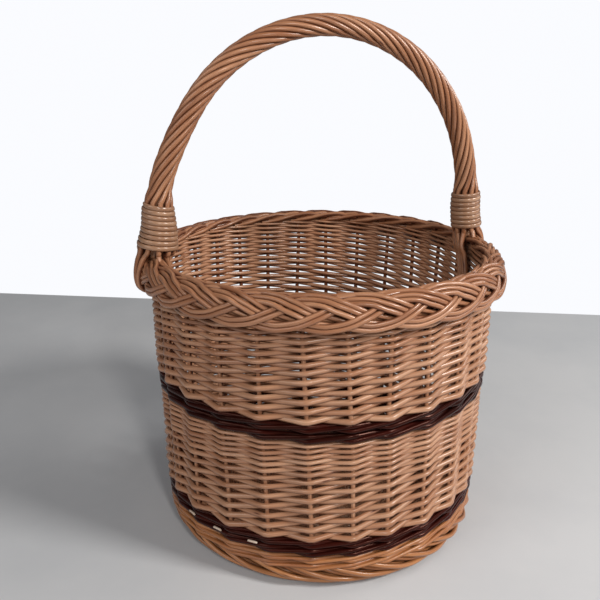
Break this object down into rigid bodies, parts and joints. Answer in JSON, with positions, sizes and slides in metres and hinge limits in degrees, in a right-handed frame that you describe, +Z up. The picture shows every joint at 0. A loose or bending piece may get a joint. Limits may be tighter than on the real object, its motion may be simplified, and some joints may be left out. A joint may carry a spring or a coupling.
{
  "type": "market basket",
  "caption": "Round willow market basket with a fixed roped hoop handle, plaited rim, dark waled bands in a plain woven wall and a flat foot.",
  "frame": {"origin": "middle of the underside, where the foot border stands on the ground", "axes": "+Z up, X through both feet of the handle, +Y to the back of the basket as its picture is taken from near -Y"},
  "size_m": [0.333, 0.323, 0.4513],
  "materials": {
    "honey_willow": "orange-brown boiled willow rods with a satin skin",
    "buff_willow": "pale buff peeled willow rods with a satin skin",
    "dark_willow": "dark brown stained willow rods, satin",
    "pale_skein": "flat split willow skein, smooth satin"
  },
  "bodies": {
    "root": {"base_stick_1": "buff_willow", "base_stick_2": "buff_willow", "base_stick_3": "buff_willow", "base_stick_4": "buff_willow", "base_stick_5": "buff_willow", "base_stick_6": "buff_willow", "base_stick_7": "buff_willow", "base_weave": "buff_willow", "foot_border": "honey_willow", "foot_wale": "honey_willow", "handle_bow": "honey_willow", "handle_strand_01": "honey_willow", "handle_strand_02": "honey_willow", "handle_strand_03": "honey_willow", "handle_strand_04": "honey_willow", "handle_strand_05": "honey_willow", "handle_strand_06": "honey_willow", "handle_strand_07": "honey_willow", "handle_strand_08": "honey_willow", "handle_strand_09": "honey_willow", "handle_strand_10": "honey_willow", "left_lapping": "pale_skein", "lower_dark_wale": "dark_willow", "lower_randing": "buff_willow", "middle_dark_wale": "dark_willow", "plaited_border": "honey_willow", "right_lapping": "pale_skein", "stake_01": "buff_willow", "stake_02": "buff_willow", "stake_03": "buff_willow", "stake_04": "buff_willow", "stake_05": "buff_willow", "stake_06": "buff_willow", "stake_07": "buff_willow", "stake_08": "buff_willow", "stake_09": "buff_willow", "stake_10": "buff_willow", "stake_11": "buff_willow", "stake_12": "buff_willow", "stake_13": "buff_willow", "stake_14": "buff_willow", "stake_15": "buff_willow", "stake_16": "buff_willow", "stake_17": "buff_willow", "stake_18": "buff_willow", "stake_19": "buff_willow", "stake_20": "buff_willow", "stake_21": "buff_willow", "stake_22": "buff_willow", "stake_23": "buff_willow", "stake_24": "buff_willow", "stake_25": "buff_willow", "stake_26": "buff_willow", "stake_27": "buff_willow", "stake_28": "buff_willow", "upper_randing": "buff_willow"}
  },
  "joints": []
}
